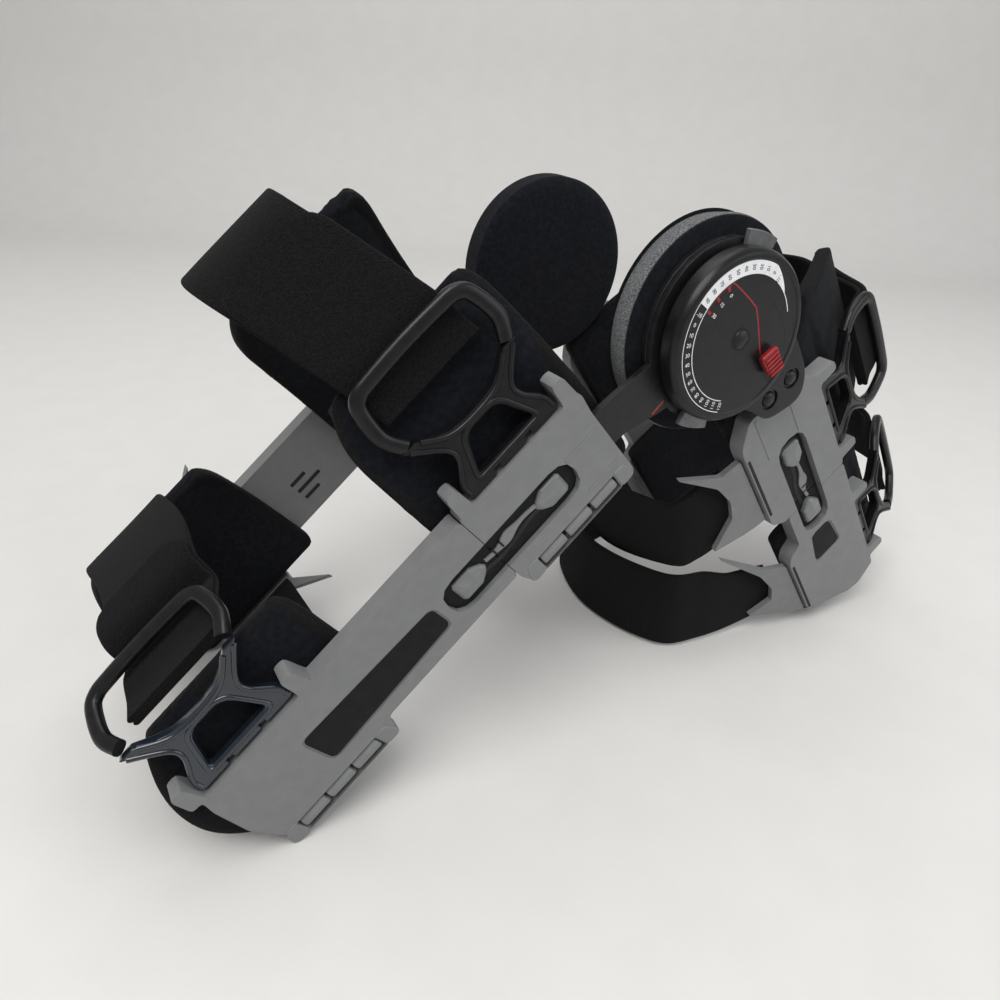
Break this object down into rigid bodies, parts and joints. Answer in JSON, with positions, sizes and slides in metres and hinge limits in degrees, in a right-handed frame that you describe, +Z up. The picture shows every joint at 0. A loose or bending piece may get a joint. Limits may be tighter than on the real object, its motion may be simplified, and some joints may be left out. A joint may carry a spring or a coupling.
{
  "type": "hinged knee immobilizer brace",
  "caption": "Hinged knee brace with paired telescoping bars, dial hinges, padded cuffs, quick-release buckles and leg straps.",
  "frame": {"origin": "middle of the brace's box on the surface it stands on", "axes": "+X from the thigh half towards the calf half, +Y along the knee hinge from the buckle side to the other side, +Z up"},
  "size_m": [0.4968, 0.1846, 0.2557],
  "materials": {
    "grey_plastic": "fine moulded texture",
    "black_metal": "black coating, satin",
    "black_plastic": "satin",
    "insert_plastic": "smooth",
    "smoky_plastic": "smoky, clear",
    "red_plastic": "smooth",
    "grey_foam": "open foam between brushed fabric faces",
    "pad_fabric": "brushed foam laminate",
    "strap_fabric": "short looped pile"
  },
  "bodies": {
    "thigh": {"thigh_proximal_plate_near": "grey_plastic", "thigh_proximal_plate_far": "grey_plastic", "thigh_proximal_front_wing_far": "grey_plastic", "thigh_strut_near": "black_metal", "thigh_strut_far": "black_metal", "thigh_window_insert_near": "insert_plastic", "thigh_window_insert_far": "insert_plastic", "thigh_proximal_buckle": "black_plastic", "thigh_proximal_loop": "black_plastic", "thigh_proximal_pad_near": "pad_fabric", "thigh_proximal_pad_far": "pad_fabric", "thigh_proximal_front_strap": "strap_fabric", "thigh_proximal_back_strap": "strap_fabric"},
    "thigh_end": {"thigh_distal_plate_near": "grey_plastic", "thigh_distal_plate_far": "grey_plastic", "thigh_distal_front_wing_far": "grey_plastic", "thigh_length_button_near": "insert_plastic", "thigh_length_button_far": "insert_plastic", "thigh_distal_buckle": "black_plastic", "thigh_distal_loop": "black_plastic", "thigh_distal_pad_near": "pad_fabric", "thigh_distal_pad_far": "pad_fabric", "thigh_distal_front_strap": "strap_fabric", "thigh_distal_back_strap": "strap_fabric"},
    "calf": {"calf_proximal_plate_near": "grey_plastic", "calf_proximal_plate_far": "grey_plastic", "calf_proximal_back_wing_near": "grey_plastic", "calf_proximal_back_wing_far": "grey_plastic", "calf_strut_near": "black_metal", "calf_strut_far": "black_metal", "calf_window_insert_near": "insert_plastic", "calf_window_insert_far": "insert_plastic", "calf_proximal_buckle": "black_plastic", "calf_proximal_loop": "black_plastic", "calf_proximal_pad_near": "pad_fabric", "calf_proximal_pad_far": "pad_fabric", "calf_proximal_front_strap": "strap_fabric", "calf_proximal_back_strap": "strap_fabric", "dial_cover_near": "black_plastic", "dial_cover_far": "black_plastic", "condyle_pad_near": "grey_foam", "condyle_pad_far": "grey_foam"},
    "calf_end": {"calf_distal_plate_near": "grey_plastic", "calf_distal_plate_far": "grey_plastic", "calf_distal_back_wing_near": "grey_plastic", "calf_distal_back_wing_far": "grey_plastic", "calf_length_button_near": "insert_plastic", "calf_length_button_far": "insert_plastic", "calf_distal_buckle": "black_plastic", "calf_distal_loop": "black_plastic", "calf_distal_pad_near": "pad_fabric", "calf_distal_pad_far": "pad_fabric", "calf_distal_front_strap": "strap_fabric", "calf_distal_back_strap": "strap_fabric"},
    "lock_near": {"dial_lock_near": "red_plastic"},
    "lock_far": {"dial_lock_far": "red_plastic"},
    "extension_near": {"extension_stop_near": "smoky_plastic"},
    "extension_far": {"extension_stop_far": "smoky_plastic"},
    "flexion_near": {"flexion_stop_near": "smoky_plastic"},
    "flexion_far": {"flexion_stop_far": "smoky_plastic"}
  },
  "joints": [
    {"name": "knee_hinge", "type": "hinge", "parent": "thigh", "child": "calf", "pos_m": [0.02497, 0, 0.20257], "axis": [0, 1, 0], "range_deg": [-104.6, 25.4]},
    {"name": "thigh_length", "type": "slide", "parent": "thigh", "child": "thigh_end", "axis": [-0.7501, 0, -0.6613], "range_m": [0, 0.06]},
    {"name": "calf_length", "type": "slide", "parent": "calf", "child": "calf_end", "axis": [0.5988, 0, -0.8009], "range_m": [0, 0.04]},
    {"name": "lock_near_slide", "type": "slide", "parent": "calf", "child": "lock_near", "axis": [0.5988, 0, -0.8009], "range_m": [0, 0.005]},
    {"name": "lock_far_slide", "type": "slide", "parent": "calf", "child": "lock_far", "axis": [0.5988, 0, -0.8009], "range_m": [0, 0.005]},
    {"name": "extension_near_turn", "type": "hinge", "parent": "calf", "child": "extension_near", "pos_m": [0.02497, 0, 0.20257], "axis": [0, 1, 0], "range_deg": [-75, 0]},
    {"name": "extension_far_turn", "type": "hinge", "parent": "calf", "child": "extension_far", "pos_m": [0.02497, 0, 0.20257], "axis": [0, 1, 0], "range_deg": [-75, 0]},
    {"name": "flexion_near_turn", "type": "hinge", "parent": "calf", "child": "flexion_near", "pos_m": [0.02497, 0, 0.20257], "axis": [0, 1, 0], "range_deg": [0, 60]},
    {"name": "flexion_far_turn", "type": "hinge", "parent": "calf", "child": "flexion_far", "pos_m": [0.02497, 0, 0.20257], "axis": [0, 1, 0], "range_deg": [0, 60]}
  ]
}
